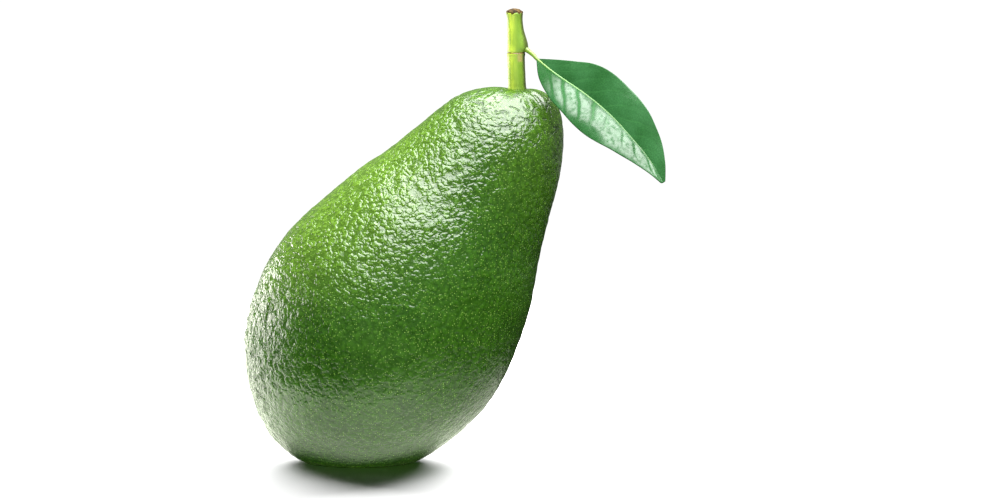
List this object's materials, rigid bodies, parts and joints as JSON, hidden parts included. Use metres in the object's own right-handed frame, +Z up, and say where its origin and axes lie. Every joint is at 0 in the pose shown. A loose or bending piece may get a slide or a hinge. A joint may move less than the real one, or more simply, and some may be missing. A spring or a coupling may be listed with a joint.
{
  "type": "whole avocado with stalk and leaf",
  "caption": "Whole pear-shaped avocado with pebbled green skin, a short cut stalk and one leaf, standing on its broad end with the neck leaning.",
  "frame": {"origin": "centre of the flat spot that the fruit stands on", "axes": "+Z up; the fruit's neck leans towards +X, the leaf droops on the +X side with its upper face towards -Y"},
  "size_m": [0.1178, 0.0724, 0.1281],
  "materials": {
    "skin": "waxy green fruit skin, pebbled, with fine pale yellow-green dots and a soft gloss",
    "stalk": "fresh green stalk, satin, with a brown ring and a dry brown cut end",
    "leaf": "leathery dark green leaf, glossy above and paler and matt below"
  },
  "bodies": {
    "root": {"fruit": "skin", "stalk": "stalk", "leaf": "leaf"}
  },
  "joints": []
}
